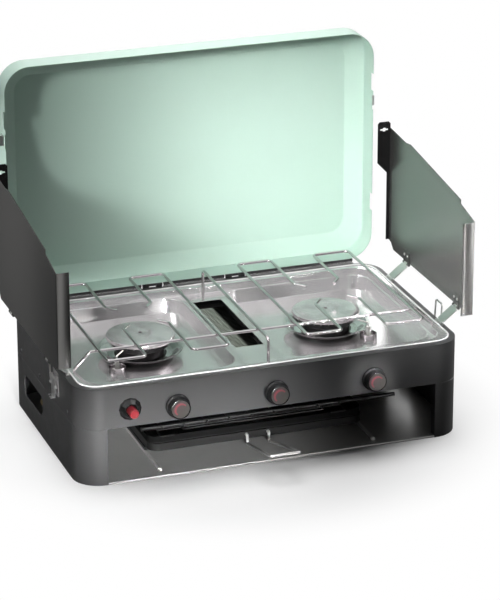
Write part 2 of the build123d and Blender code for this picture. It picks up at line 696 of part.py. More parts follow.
with BuildPart() as grill_mesh:
    block(GRILL_X0, GRILL_X1, GRILL_Y0, GRILL_Y1, GRILL_Z1, GRILL_Z1 + SHEET)
    mesh_x = (GRILL_X1 - GRILL_X0) / (MESH_COLUMNS + 1)
    mesh_y = (GRILL_Y1 - GRILL_Y0) / (MESH_ROWS + 1)
    mesh_mid = ((GRILL_X0 + GRILL_X1) / 2, (GRILL_Y0 + GRILL_Y1) / 2, GRILL_Z1 + SHEET / 2)
    with Locations(mesh_mid):
        with GridLocations(mesh_x, mesh_y, MESH_COLUMNS, MESH_ROWS):
            Box(mesh_x * MESH_OPEN, mesh_y * MESH_OPEN, 2 * SHEET, mode=Mode.SUBTRACT)
save(grill_mesh, "grill_mesh")

with BuildPart() as grill_tube:
    mixing_tube(KNOB_X[1], GRILL_Y0 + 2 * WALL)
save(grill_tube, "grill_tube")

# Gas valves, manifold and inlet
valve_front = PANEL_IN + VALVE_NECK_L
valve_back = valve_front + VALVE_L
jet_x = (-BURNER_X, KNOB_X[1], BURNER_X)
spindle_deep = VALVE_L / 2
with BuildPart() as gas_valves:
    for x, out in zip(KNOB_X, jet_x):
        valve_x = (x - VALVE_W / 2, x + VALVE_W / 2)
        valve_z = (KNOB_Z - VALVE_H / 2, KNOB_Z + VALVE_H / 2)
        block(*valve_x, valve_front, valve_back, *valve_z)
        rod((x, PANEL_IN, KNOB_Z), (x, valve_front, KNOB_Z), VALVE_NECK_R)
        bore_end = valve_front + spindle_deep + KNOB_PUSH + CLEAR
        rod((x, PANEL_IN, KNOB_Z), (x, bore_end, KNOB_Z), SPINDLE_R + RUN_FIT, Mode.SUBTRACT)
        rod((out, valve_back, TUBE_Z), (out, valve_back + JET_L, TUBE_Z), TUBE_R / 2)
save(gas_valves, "gas_valves")

pipe_z = KNOB_Z - VALVE_H / 2 - GAS_PIPE_R - WALL
with BuildPart() as gas_pipe:
    route = [(KNOB_X[2] + VALVE_W, GAS_PIPE_Y, pipe_z), (-GAS_PIPE_X, GAS_PIPE_Y, pipe_z)]
    route += [(-GAS_PIPE_X, INLET_Y, pipe_z), (-GAS_PIPE_X, INLET_Y, INLET_Z)]
    route += [(-INLET_TIP + INLET_L, INLET_Y, INLET_Z)]
    wire(route, GAS_PIPE_R, GAS_PIPE_BEND * 0.9)
    for x in KNOB_X:
        y0 = GAS_PIPE_Y - GAS_PIPE_R
        y1 = GAS_PIPE_Y + GAS_PIPE_R
        block(x - GAS_PIPE_R, x + GAS_PIPE_R, y0, y1, pipe_z, KNOB_Z - VALVE_H / 2)
save(gas_pipe, "gas_pipe")

with BuildPart() as gas_inlet:
    inlet_base = -INLET_TIP + INLET_L
    rod((inlet_base, INLET_Y, INLET_Z), (-INLET_TIP, INLET_Y, INLET_Z), INLET_R)
save(gas_inlet, "gas_inlet")

# Knobs, spindles and thrust collars
knob_back = -HALF_D - KNOB_GAP
knob_step = knob_back - KNOB_SKIRT_L
knob_face = knob_step - KNOB_GRIP_L
collar_back = -HALF_D - KNOB_PUSH - CLEAR
for x, use in zip(KNOB_X, ("left", "grill", "right")):
    with BuildPart() as thrust_collar:
        rod((x, collar_back, KNOB_Z), (x, knob_back + CLEAR / 4, KNOB_Z), COLLAR_R)
        rod((x, 0, KNOB_Z), (x, knob_face, KNOB_Z), SPINDLE_R + RUN_FIT, Mode.SUBTRACT)
    save(thrust_collar, f"thrust_collar_{use}")

    with BuildPart() as spindle:
        rod((x, valve_front + spindle_deep, KNOB_Z), (x, knob_step, KNOB_Z), SPINDLE_R)
    save(spindle, f"spindle_{use}")

    with BuildPart() as knob:
        cone((x, knob_back, KNOB_Z), (x, knob_step, KNOB_Z), KNOB_SKIRT_R, KNOB_SKIRT_R - SHEET)
        rod((x, knob_step, KNOB_Z), (x, knob_face, KNOB_Z), KNOB_GRIP_R)
        fillet(knob.edges().group_by(Axis.Y)[0], KNOB_ROUND)
        rod((x, knob_back, KNOB_Z), (x, knob_step, KNOB_Z), SPINDLE_R, Mode.SUBTRACT)
    save(knob, f"knob_{use}")

# Push button igniter
piezo_root = (PIEZO_X, -HALF_D, PIEZO_Z)
piezo_step = (PIEZO_X, -HALF_D - PIEZO_STEP, PIEZO_Z)
piezo_end = (PIEZO_X, -HALF_D - 2 * PIEZO_STEP, PIEZO_Z)
piezo_bore = PIEZO_BUTTON_R + CLEAR
with BuildPart() as igniter_bezel:
    cone(piezo_root, piezo_step, PIEZO_R, PIEZO_R - PIEZO_STEP / 2)
    cone(piezo_step, piezo_end, PIEZO_R - PIEZO_STEP, PIEZO_BODY_R)
    rod(piezo_root, (PIEZO_X, -HALF_D - 3 * PIEZO_STEP, PIEZO_Z), piezo_bore, Mode.SUBTRACT)
save(igniter_bezel, "igniter_bezel")

with BuildPart() as igniter_body:
    rod(piezo_root, (PIEZO_X, -HALF_D + PIEZO_BODY_L, PIEZO_Z), PIEZO_BODY_R)
    well_end = (PIEZO_X, -HALF_D + PIEZO_ROOT + PIEZO_PUSH + 2 * SHEET, PIEZO_Z)
    rod(piezo_root, well_end, piezo_bore, Mode.SUBTRACT)
save(igniter_body, "igniter_body")

with BuildPart() as igniter_button:
    button_root = (PIEZO_X, -HALF_D + PIEZO_ROOT, PIEZO_Z)
    rod(button_root, (PIEZO_X, -HALF_D - PIEZO_STICK, PIEZO_Z), PIEZO_BUTTON_R)
    fillet(igniter_button.edges().group_by(Axis.Y)[0], KNOB_ROUND)
save(igniter_button, "igniter_button")

# Grill pan on runners, with its wire rack and wire handle
def pan_form(inset, front, z0, z1, mode=Mode.ADD):
    y0 = front + inset
    y1 = PAN_Y1 - inset
    with BuildSketch(Plane.XY.offset(z0)) as outline:
        with Locations((PAN_X, (y0 + y1) / 2)):
            RectangleRounded(2 * (PAN_HALF - inset), y1 - y0, PAN_R - inset)
    extrude(outline.sketch, amount=z1 - z0, mode=mode)


bead_y = PAN_Y0 - PAN_BEAD
bead_z = PAN_Z0 + PAN_BEAD_RISE
with BuildPart() as grill_pan:
    pan_form(0, PAN_Y0, PAN_Z0, PAN_Z1)
    pan_form(0, bead_y, bead_z, bead_z + PAN_BEAD_H)
    pan_form(PAN_T, PAN_Y0, PAN_Z0 + PAN_T, PAN_Z1, Mode.SUBTRACT)
    for x in RAIL_X:
        x0 = x - PAN_RUNNER_T / 2
        x1 = x + PAN_RUNNER_T / 2
        block(x0, x1, -PAN_RUNNER_Y, PAN_RUNNER_Y, RAIL_TOP + RUN_FIT, PAN_Z0 + PAN_T)
save(grill_pan, "grill_pan")

bar_front = PAN_Y0 + GRILL_BAR_INSET
bar_back = PAN_Y1 - GRILL_BAR_INSET
hook_y = PAN_Y0 - 2 * RACK_HOOK_R
frame_y = PAN_Y0 + RACK_HOOK_INSET
step_y = frame_y - RACK_STEP
with BuildPart() as grill_rack:
    bar_start = PAN_X - PAN_HALF - 2 * PAN_T
    for y, bar_end in ((bar_front, GRILL_BAR_END), (bar_back, PAN_X + PAN_HALF + 2 * PAN_T)):
        rod((bar_start, y, GRILL_BAR_Z), (bar_end, y, GRILL_BAR_Z), GRILL_BAR_R)
    bar_pitch = 2 * (PAN_HALF - GRILL_BAR_INSET) / (GRILL_BARS - 1)
    for step in range(GRILL_BARS):
        x = PAN_X + (step - (GRILL_BARS - 1) / 2) * bar_pitch
        rod((x, frame_y - RACK_HOOK_R, GRILL_BAR_Z), (x, bar_back, GRILL_BAR_Z), GRILL_BAR_R / 2)
    x0, x1, x2, x3 = [PAN_X + x for x in RACK_HOOK_X]
    hook_line = [(x1, hook_y), (x0, hook_y), (x0, frame_y), (x3, frame_y), (x3, hook_y), (x2, hook_y)]
    wire([(x, y, RACK_HOOK_Z) for x, y in hook_line], RACK_HOOK_R, 2 * RACK_HOOK_R)
    x0, x1 = [PAN_X + x for x in RACK_STEP_X]
    step_line = [(x0, frame_y), (x0, step_y), (x1, step_y), (x1, frame_y)]
    wire([(x, y, RACK_HOOK_Z) for x, y in step_line], RACK_HOOK_R, 2 * RACK_HOOK_R)
save(grill_rack, "grill_rack")

with BuildPart() as pan_handle:
    post_y = bead_y - 2 * HANDLE_R
    reach_y = post_y - HANDLE_REACH
    half_handle = [(HANDLE_HALF[0], bead_y, HANDLE_POST_Z), (HANDLE_HALF[0], post_y, HANDLE_POST_Z)]
    half_handle += [(HANDLE_HALF[0], post_y, HANDLE_Z), (HANDLE_HALF[1], reach_y, HANDLE_Z + HANDLE_RISE)]
    left_half = [(HANDLE_X - x, y, z) for x, y, z in half_handle]
    right_half = [(HANDLE_X + x, y, z) for x, y, z in reversed(half_handle)]
    wire(left_half + right_half, HANDLE_R, HANDLE_R * 1.4)
save(pan_handle, "pan_handle")


# Lid standing open, hollow side to the front
def lid_form(grow, mode):
    half_plane = Plane(origin=(0, LID_FACE_Y, LID_MID_Z), x_dir=(1, 0, 0), z_dir=(0, 1, 0))
    skirt = LID_SKIRT - grow / 2
    floor = LID_DEPTH - grow
    inset = LID_INSET + grow / 2
    with BuildSketch(half_plane) as mouth:
        RectangleRounded(LID_W - 2 * grow, LID_L - 2 * grow, LID_R - grow)
    extrude(mouth.sketch, amount=skirt, mode=mode)
    with BuildSketch(half_plane.offset(skirt)) as shoulder:
        RectangleRounded(LID_W - 2 * grow, LID_L - 2 * grow, LID_R - grow)
    with BuildSketch(half_plane.offset(floor)) as top:
        RectangleRounded(LID_W - 2 * inset, LID_L - 2 * inset, LID_R - LID_INSET / 2)
    loft([shoulder.sketch.face(), top.sketch.face()], mode=mode)


with BuildPart() as lid:
    lid_form(0, Mode.ADD)
    lid_form(SHEET, Mode.SUBTRACT)
    notch_low = LID_CLOSED_Z - SHEET
    for side in (-1, 1):
        x0 = side * (LID_HALF - 3 * SHEET)
        x1 = side * (LID_HALF + SHEET)
        for y in STRAP_Y:
            y0 = y - STRAP_W / 2 - NOTCH_SIDE
            y1 = y + STRAP_W / 2 + NOTCH_SIDE
            closed_block(x0, x1, y0, y1, notch_low, LID_CLOSED_Z + NOTCH_DEPTH, Mode.SUBTRACT)
        latch_y0 = LATCH_Y - LATCH_W / 2
        latch_y1 = LATCH_Y + LATCH_W / 2
        notch_top = LID_CLOSED_Z + NOTCH_DEPTH / 2
        closed_block(x0, x1, latch_y0, latch_y1, notch_low, notch_top, Mode.SUBTRACT)
save(lid, "lid")

# Lid hinges behind the rear rim
with BuildPart() as lid_hinge_leaves:
    leaf_z0 = HINGE_Z + KNUCKLE_R + CLEAR
    for hx in (-HINGE_X, HINGE_X):
        leaf_y1 = LID_FACE_Y + LEAF_T
        closed_block(hx - HINGE_W / 2, hx + HINGE_W / 2, LID_FACE_Y, leaf_y1, leaf_z0, leaf_z0 + LEAF_L)
        closed_block(hx - KNUCKLE_MID, hx + KNUCKLE_MID, LID_FACE_Y, HINGE_Y, HINGE_Z, leaf_z0)
        rod((hx - KNUCKLE_MID, HINGE_Y, HINGE_Z), (hx + KNUCKLE_MID, HINGE_Y, HINGE_Z), KNUCKLE_R)
        bore = PIN_R + RUN_FIT
        rod((hx - HINGE_W, HINGE_Y, HINGE_Z), (hx + HINGE_W, HINGE_Y, HINGE_Z), bore, Mode.SUBTRACT)
save(lid_hinge_leaves, "lid_hinge_leaves")

with BuildPart() as case_hinge_leaves:
    tongue_y0 = HINGE_Y - LEAF_T
    tongue_y1 = HINGE_Y + LEAF_T
    for hx in (-HINGE_X, HINGE_X):
        block(hx - HINGE_W / 2, hx + HINGE_W / 2, HALF_D, tongue_y1, RIM_Z - LEAF_L, RIM_Z)
        for side in (-1, 1):
            x0 = hx + side * KNUCKLE_IN
            x1 = hx + side * HINGE_W / 2
            block(x0, x1, tongue_y0, tongue_y1, RIM_Z, HINGE_Z)
            rod((x0, HINGE_Y, HINGE_Z), (x1, HINGE_Y, HINGE_Z), KNUCKLE_R)
        rod((hx - HINGE_W / 2, HINGE_Y, HINGE_Z), (hx + HINGE_W / 2, HINGE_Y, HINGE_Z), PIN_R)
save(case_hinge_leaves, "case_hinge_leaves")

# Side wings, their swing straps and hinges, and the side latches
for side, hand in ((-1, "left"), (1, "right")):
    pin_x = side * STRAP_PIN_X
    top_x = side * WING_PIN_X
    with BuildPart() as strap_base:
        for y in STRAP_Y:
            for end in (-1, 1):
                y0 = y + end * KNUCKLE_IN
                y1 = y + end * KNUCKLE_OUT
                rod((pin_x, y0, STRAP_PIN_Z), (pin_x, y1, STRAP_PIN_Z), KNUCKLE_R)
                block(pin_x - KNUCKLE_R, pin_x + KNUCKLE_R, y0, y1, RIM_Z, STRAP_PIN_Z)
            rod((pin_x, y - KNUCKLE_OUT, STRAP_PIN_Z), (pin_x, y + KNUCKLE_OUT, STRAP_PIN_Z), PIN_R)
    save(strap_base, f"strap_hinge_{hand}")

    along = (side * sin(radians(STRAP_LEAN)), 0, cos(radians(STRAP_LEAN)))
    normal = (cos(radians(STRAP_LEAN)), 0, -side * sin(radians(STRAP_LEAN)))
    with BuildPart() as strap:
        for y in STRAP_Y:
            middle = ((pin_x + top_x) / 2, y, (STRAP_PIN_Z + WING_PIN_Z) / 2)
            with Locations(Plane(origin=middle, x_dir=along, z_dir=normal)):
                Box(STRAP_L - 2 * (KNUCKLE_R + 2 * CLEAR), STRAP_W, STRAP_T)
                Box(STRAP_L, 2 * KNUCKLE_MID, STRAP_T)
            for x, z in ((pin_x, STRAP_PIN_Z), (top_x, WING_PIN_Z)):
                rod((x, y - KNUCKLE_MID, z), (x, y + KNUCKLE_MID, z), KNUCKLE_R)
                rod((x, y - STRAP_W, z), (x, y + STRAP_W, z), PIN_R + RUN_FIT, Mode.SUBTRACT)
    save(strap, f"wing_strap_{hand}")

    inner_x = side * (WING_X - SHEET / 2)
    outer_x = side * (WING_X + SHEET / 2)
    bracket_x = inner_x - side * LEAF_T
    heel_low = WING_LOW + WING_HEEL_H[0]
    heel_top = WING_LOW + WING_HEEL_H[1]
    flange_low = WING_LOW + WING_CUT
    flange_top = WING_LOW + WING_FRONT_H
    outline = [(WING_Y1, WING_LOW + WING_REAR_H)]
    outline += [(WING_Y1 - y, WING_LOW + h) for y, h in (WING_DIP, WING_CREST)]
    outline += [(WING_STEP_Y, WING_LOW + h) for h in WING_STEP_H]
    outline += [(WING_Y0, flange_top), (WING_Y0, flange_low), (WING_Y0 + WING_CHAMFER, WING_LOW)]
    outline += [(WING_Y1 - WING_HEEL[0], WING_LOW), (WING_Y1 - WING_HEEL[1], heel_low), (WING_Y1, heel_top)]
    with BuildPart() as wing:
        plate(outline, side_plane(min(inner_x, outer_x)), SHEET)
        flange_in = side * (WING_X - FRONT_FLANGE)
        block(flange_in, outer_x, WING_Y0, WING_Y0 + SHEET, flange_low, flange_top)
        rear_in = WING_X - REAR_FLANGE
        hook_z0, hook_z1, hook_z2 = [WING_LOW + h for h in HOOK_H]
        hook = [(WING_X, heel_top), (rear_in, heel_top), (rear_in, hook_z0), (TAB_IN, hook_z1)]
        hook += [(TAB_IN, hook_z2 - HOOK_CUT), (TAB_IN + HOOK_CUT, hook_z2)]
        hook += [(WING_X - HOOK_CUT, hook_z2), (WING_X, hook_z2 - HOOK_CUT)]
        plate([(side * x, z) for x, z in hook], front_plane(WING_Y1), SHEET)
        hole_x = side * (TAB_IN + WING_X) / 2
        hole_z = WING_LOW + HOOK_HOLE_H
        hole_y = (WING_Y1 - 2 * SHEET, WING_Y1 + SHEET)
        rod((hole_x, hole_y[1], hole_z), (hole_x, hole_y[0], hole_z), HOOK_HOLE_R, Mode.SUBTRACT)
        hole_dx = HOOK_SLOT[0] / 2
        hole_dz = HOOK_SLOT[1] / 2
        slot_z = (hole_z - hole_dz, hole_z + hole_dz)
        block(hole_x - hole_dx, hole_x + hole_dx, *hole_y, *slot_z, Mode.SUBTRACT)
        for y in STRAP_Y:
            bracket_y = (y - KNUCKLE_OUT, y + KNUCKLE_OUT)
            block(bracket_x, inner_x, *bracket_y, WING_LOW, WING_LOW + BRACKET_H)
            for end in (-1, 1):
                y0 = y + end * KNUCKLE_IN
                y1 = y + end * KNUCKLE_OUT
                rod((top_x, y0, WING_PIN_Z), (top_x, y1, WING_PIN_Z), KNUCKLE_R)
                block(bracket_x, outer_x, y0, y1, WING_PIN_Z, WING_LOW)
            rod((top_x, bracket_y[0], WING_PIN_Z), (top_x, bracket_y[1], WING_PIN_Z), PIN_R)
    save(wing, f"wing_{hand}")

    with BuildPart() as rivets:
        for y in STRAP_Y:
            for offset in (-RIVET_DY, RIVET_DY):
                start = (bracket_x, y + offset, WING_LOW + RIVET_H)
                cone(start, (bracket_x - side * SHEET, y + offset, WING_LOW + RIVET_H), *RIVET_R)
    save(rivets, f"wing_rivets_{hand}")

    pivot_x = side * LATCH_PIVOT_X
    wall_x = side * HALF_W
    ear_in = LEVER_W / 2 + CLEAR
    ear_out = ear_in + STRAP_T
    lever_y = (LATCH_Y - LEVER_W / 2, LATCH_Y + LEVER_W / 2)

    def latch_rod(half, z, radius, mode=Mode.ADD):
        rod((pivot_x, LATCH_Y - half, z), (pivot_x, LATCH_Y + half, z), radius, mode)

    with BuildPart() as latch_base:
        plate_x = wall_x + side * LEAF_T
        block(wall_x, plate_x, LATCH_Y - LATCH_W / 2, LATCH_Y + LATCH_W / 2, LATCH_Z0, LATCH_Z1)
        for end in (-1, 1):
            ear_x = pivot_x + side * KNUCKLE_R
            y0 = LATCH_Y + end * ear_in
            y1 = LATCH_Y + end * ear_out
            block(plate_x, ear_x, y0, y1, LATCH_PIVOT_Z - EAR_HALF, LATCH_PIVOT_Z + EAR_HALF)
        latch_rod(ear_out, LATCH_PIVOT_Z, PIN_R)
    save(latch_base, f"latch_base_{hand}")

    stub = ear_out + CLEAR + 2 * BAIL_R
    with BuildPart() as latch_lever:
        lever_x = (pivot_x - STRAP_T / 2, pivot_x + STRAP_T / 2)
        block(*lever_x, *lever_y, LEVER_LOW_Z, LATCH_PIVOT_Z)
        block(pivot_x, pivot_x + side * LEVER_CURL, *lever_y, LEVER_LOW_Z, LEVER_LOW_Z + STRAP_T)
        latch_rod(LEVER_W / 2, LATCH_PIVOT_Z, KNUCKLE_R)
        latch_rod(LATCH_W, LATCH_PIVOT_Z, PIN_R + RUN_FIT, Mode.SUBTRACT)
        latch_rod(stub, BAIL_PIVOT_Z, BAIL_R)
    save(latch_lever, f"latch_lever_{hand}")

    bail_y = ear_out + CLEAR + BAIL_R
    bail_x = pivot_x + side * (BAIL_TOP_Z - BAIL_PIVOT_Z) * sin(radians(BAIL_LEAN))
    with BuildPart() as latch_bail:
        loop = [(pivot_x, LATCH_Y - bail_y, BAIL_PIVOT_Z), (bail_x, LATCH_Y - bail_y, BAIL_TOP_Z)]
        loop += [(bail_x, LATCH_Y + bail_y, BAIL_TOP_Z), (pivot_x, LATCH_Y + bail_y, BAIL_PIVOT_Z)]
        wire(loop, BAIL_R, BAIL_BEND)
        for end in (-1, 1):
            y0 = LATCH_Y + end * (bail_y - BAIL_R)
            y1 = LATCH_Y + end * (bail_y + BAIL_R)
            rod((pivot_x, y0, BAIL_PIVOT_Z), (pivot_x, y1, BAIL_PIVOT_Z), 2 * BAIL_R)
        latch_rod(LATCH_W, BAIL_PIVOT_Z, BAIL_R + RUN_FIT, Mode.SUBTRACT)
    save(latch_bail, f"latch_bail_{hand}")

    keep_x0 = side * LID_HALF
    keep_x1 = keep_x0 + side * LEAF_T
    hook_x = keep_x0 + side * KEEPER_OUT
    keep_z = LID_CLOSED_Z + NOTCH_DEPTH
    hook_z = keep_z + KEEPER_HOOK_H
    with BuildPart() as keeper:
        closed_block(keep_x0, keep_x1, *lever_y, keep_z, keep_z + KEEPER_H)
        closed_block(keep_x1, hook_x, *lever_y, hook_z, hook_z + LEAF_T)
        closed_block(hook_x, hook_x - side * LEAF_T, *lever_y, hook_z, hook_z + KEEPER_HOOK_L)
    save(keeper, f"latch_keeper_{hand}")
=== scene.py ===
import json
from contextlib import contextmanager
from math import cos, pi, radians, sin
import bmesh
import bpy
from mathutils import Matrix, Vector


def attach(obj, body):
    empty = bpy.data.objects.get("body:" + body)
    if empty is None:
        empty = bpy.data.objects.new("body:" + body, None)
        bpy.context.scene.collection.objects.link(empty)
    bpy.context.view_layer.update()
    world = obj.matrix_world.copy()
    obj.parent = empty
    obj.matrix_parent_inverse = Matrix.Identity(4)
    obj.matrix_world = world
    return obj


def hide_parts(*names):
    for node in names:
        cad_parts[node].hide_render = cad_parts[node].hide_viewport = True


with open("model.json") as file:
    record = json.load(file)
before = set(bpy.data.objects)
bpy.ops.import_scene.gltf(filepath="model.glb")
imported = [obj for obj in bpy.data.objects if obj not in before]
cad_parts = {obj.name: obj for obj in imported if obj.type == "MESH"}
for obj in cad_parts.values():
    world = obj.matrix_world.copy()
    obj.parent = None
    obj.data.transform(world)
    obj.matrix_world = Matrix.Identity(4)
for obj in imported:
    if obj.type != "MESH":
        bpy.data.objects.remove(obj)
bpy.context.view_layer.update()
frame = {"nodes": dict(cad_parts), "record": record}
nodes = frame["nodes"]
record = frame["record"]
scene = bpy.context.scene
scene.view_settings.view_transform = "Standard"
body_of_node = {node: body for body, group in record["behaviour"]["bodies"].items() for node in group}
slot_of_node = {part["node"]: part["material_slot"] for part in record["subparts"]}

# Places on the stove, in metres
PANEL_Y = -0.1715
KNOB_X = {"left": -0.1415, "grill": 0.001, "right": 0.1435}
KNOB_Y = PANEL_Y - 0.0045
KNOB_Z = 0.111
IGNITER = (-0.207, PANEL_Y, 0.1135)
BURNER_X = {"left": -0.139, "right": 0.139}
BURNER_Y = -0.002
CAP_Z = 0.144
WELL_Z = 0.117
ELECTRODE_X = (-0.187, 0.187)
ELECTRODE_Y = -0.047
HINGE_Y, HINGE_Z = 0.17665, 0.14985
GUTTER_Y, GUTTER_Z = 0.17505, 0.1433
GUTTER_WIDE, GUTTER_TALL = 0.0071, 0.0076
MESH_PLACE = (0.001, 0.015, 0.1274)
MESH_SIZE = (0.043, 0.193, 1)
FOOT_SPOTS = ((-0.262, -0.112), (-0.262, 0.084), (0.262, -0.112), (0.262, 0.084), (0, -0.15), (0, 0.15))
RAIL_X = (-0.161, 0.153)
RAIL_END_Y, RAIL_END_Z = -0.154, 0.0094
FORWARD = (pi / 2, 0, 0)
SIDEWAYS = (0, pi / 2, 0)

# Where a finish, a painted shade, a painted shadow or a painted highlight changes along one axis, in metres
# Height where the painted shade on the pan's upper wall starts
PAINTED_SHADE_Z = (0.028, 0.031)
# Across where the painted shadow on the grill mesh starts
SHADOW_SIDE_X = (0.004, 0.009)
# Height of the painted highlight along the drip tray's bead
RIM_HIGHLIGHT_Z = (0.1469, 0.1476)
HOOK_Y = (0.1575, 0.1590)

# Middle in metres and half length in millimetres of each stretch between the lid's hinges
HINGE_STRETCHES = ((-0.165, 84), (0, 47), (0.165, 84))


# Shader values that take part in Python expressions
class Value:
    def __init__(self, graph, socket):
        self.graph = graph
        self.socket = socket

    def math(self, operation, *values):
        return self.graph.node("Math", {"operation": operation}, dict(enumerate(values)))

    def __add__(self, other):
        return self.math("ADD", self, other)

    def __sub__(self, other):
        return self.math("SUBTRACT", self, other)

    def __rsub__(self, other):
        return self.math("SUBTRACT", other, self)

    def __mul__(self, other):
        return self.math("MULTIPLY", self, other)

    __radd__ = __add__
    __rmul__ = __mul__

    def sqrt(self):
        return self.math("SQRT", self)

    def between(self, low, high):
        sockets = {"Value": self, "From Min": low, "From Max": high}
        return self.graph.node("MapRange", {"interpolation_type": "SMOOTHSTEP"}, sockets)


# A node tree whose nodes all come from one method
class Graph:
    def __init__(self, tree):
        self.tree = tree

    def node(self, kind, settings=None, sockets=None, out=0):
        made = self.tree.nodes.new("ShaderNode" + kind)
        for name, value in (settings or {}).items():
            setattr(made, name, value)
        for name, value in (sockets or {}).items():
            self.feed(made.inputs[name], value)
        return None if out is None else Value(self, made.outputs[out])

    def feed(self, socket, value):
        if isinstance(value, Value):
            self.tree.links.new(value.socket, socket)
        else:
            socket.default_value = value


# A material with one shader
class Finish(Graph):
    def __init__(self, name, color, roughness, metallic=0.0):
        self.material = bpy.data.materials.new(name)
        self.material.use_nodes = True
        super().__init__(self.material.node_tree)
        self.shader = self.tree.nodes["Principled BSDF"]
        self.color = color
        self.set("Base Color", (*color, 1.0))
        self.set("Roughness", roughness)
        self.set("Metallic", metallic)
        self.place = self.node("TexCoord", out="Object")

    def set(self, name, value):
        self.feed(self.shader.inputs[name], value)
        return self

    def axis(self, name):
        return self.node("SeparateXYZ", None, {0: self.place}, out=name)

    def noise(self, scale, detail=3.0, rough=0.5, stretch=(1, 1, 1)):
        spread = self.node("Mapping", {"vector_type": "POINT"}, {"Vector": self.place, "Scale": stretch})
        sockets = {"Vector": spread, "Scale": scale, "Detail": detail, "Roughness": rough}
        return self.node("TexNoise", None, sockets)

    def mix(self, share, first, second):
        first, second = ((*shade, 1.0) if isinstance(shade, tuple) else shade for shade in (first, second))
        return self.node("Mix", {"data_type": "RGBA"}, {0: share, 6: first, 7: second}, out=2)

    def bump(self, height, strength, distance):
        sockets = {"Strength": strength, "Distance": distance, "Height": height}
        return self.set("Normal", self.node("Bump", None, sockets))

    def shade(self, share, dark):
        tone = tuple(channel * dark for channel in self.color)
        return self.set("Base Color", self.mix(share, self.color, tone))

    # A second colour laid over the one that is there already
    def overlay(self, share, color):
        under = Value(self, self.shader.inputs["Base Color"].links[0].from_socket)
        return self.set("Base Color", self.mix(share, under, color))


def powder_coat(name, color, roughness, grain=1400.0, strength=0.12, mottle=0.88):
    paint = Finish(name, color, roughness)
    paint.shade(paint.noise(9.0, 4.0).between(0.35, 0.75), mottle)
    paint.set("Roughness", roughness + (paint.noise(60.0) - 0.5) * 0.12)
    return paint.bump(paint.noise(grain, 2.0), strength, 0.0004)


def drawn_steel(name, color, roughness, along, streak=0.16, dirt=0.12, worn=0.14, grain=0.02):
    stretch = {"X": (0.05, 1, 1), "Y": (1, 0.05, 1), "Z": (1, 1, 0.05)}[along]
    steel = Finish(name, color, roughness, 1.0)
    lines = steel.noise(900.0, 3.0, 0.6, stretch)
    smear = steel.noise(14.0, 5.0, 0.62)
    steel.shade(smear.between(0.4, 0.8) * dirt * 3 + lines * dirt, 0.72)
    steel.set("Roughness", roughness + (lines - 0.5) * streak + (smear - 0.5) * worn)
    return steel.bump(lines, grain, 0.0002)


def cast_metal(name, color, roughness, metallic=1.0):
    cast = Finish(name, color, roughness, metallic)
    pits = cast.noise(700.0, 4.0, 0.7)
    cast.shade(cast.noise(35.0, 4.0).between(0.35, 0.75), 0.7)
    cast.set("Roughness", roughness + (pits - 0.5) * 0.2)
    return cast.bump(pits, 0.15, 0.0004)


def moulded(name, color, roughness):
    plastic = Finish(name, color, roughness)
    plastic.shade(plastic.noise(120.0, 3.0), 0.8)
    plastic.set("Roughness", roughness + (plastic.noise(400.0) - 0.5) * 0.16)
    return plastic.bump(plastic.noise(2200.0, 2.0), 0.1, 0.0003)


# Finishes of the stove
casing = powder_coat("charcoal_casing", (0.032, 0.032, 0.0325), 0.40)
mint = powder_coat("mint_enamel", (0.495, 0.66, 0.575), 0.42, grain=900.0, strength=0.05, mottle=0.97)
hinge_black = powder_coat("hinge_black", (0.018, 0.018, 0.019), 0.4)
enamel = powder_coat("black_enamel", (0.013, 0.013, 0.013), 0.34, grain=600.0, strength=0.06)
tray_steel = drawn_steel(
    "tray_steel", (0.75, 0.735, 0.74), 0.20, "X", streak=0.04, dirt=0.02, worn=0.03, grain=0.003)
base_steel = drawn_steel("base_steel", (0.40, 0.40, 0.39), 0.34, "Y").set("Metallic", 0.35)
bright_steel = drawn_steel("bright_steel", (0.56, 0.56, 0.55), 0.30, "Z")
wing_steel = drawn_steel(
    "wing_steel", (0.165, 0.163, 0.158), 0.27, "Z", streak=0.008, dirt=0.0, worn=0.008, grain=0.0)
rack_chrome = drawn_steel("rack_chrome", (0.72, 0.69, 0.70), 0.16, "Y", streak=0.05)
rail_wire = drawn_steel("rail_wire", (0.52, 0.52, 0.51), 0.3, "Y", streak=0.05).set("Metallic", 0.5)
cap_metal = cast_metal("cap_aluminium", (0.86, 0.80, 0.825), 0.24, metallic=0.8)
# Burner bodies near black as painted shade under the caps; the grill rack wears it as its own black
burner_shade_and_rack_black = cast_metal("burner_aluminium_shade_and_black_rack", (0.06, 0.06, 0.06), 0.36)
ring_metal = cast_metal("ring_aluminium", (0.66, 0.62, 0.64), 0.12)
grill_metal = cast_metal("grill_steel", (0.10, 0.11, 0.095), 0.42)
mesh_metal = cast_metal("grill_mesh_steel", (0.42, 0.46, 0.40), 0.36)
brass = cast_metal("brass", (0.72, 0.55, 0.24), 0.28)
black_plastic = moulded("black_plastic", (0.006, 0.006, 0.006), 0.16)
knob_black = moulded("knob_black", (0.006, 0.006, 0.0065), 0.24)
knob_grey = moulded("knob_face_grey", (0.022, 0.021, 0.019), 0.42)
knob_red = moulded("knob_mark_red", (0.13, 0.016, 0.026), 0.42)
rubber = moulded("rubber", (0.022, 0.022, 0.022), 0.75)
button_red = moulded("button_red", (0.16, 0.008, 0.013), 0.32)
ceramic = moulded("ceramic", (0.86, 0.85, 0.82), 0.22)

# Painted shade on the pan's upper wall: near black there, and matt
upper_wall_painted_shade = enamel.axis("Z").between(*PAINTED_SHADE_Z)
# The upper wall is painted near black as shade and made matt
enamel.set("Roughness", 0.34 + upper_wall_painted_shade * 0.5)
enamel.set("Base Color", enamel.mix(upper_wall_painted_shade, enamel.color, (0.001, 0.001, 0.001)))
enamel.set("Specular IOR Level", 0.12)

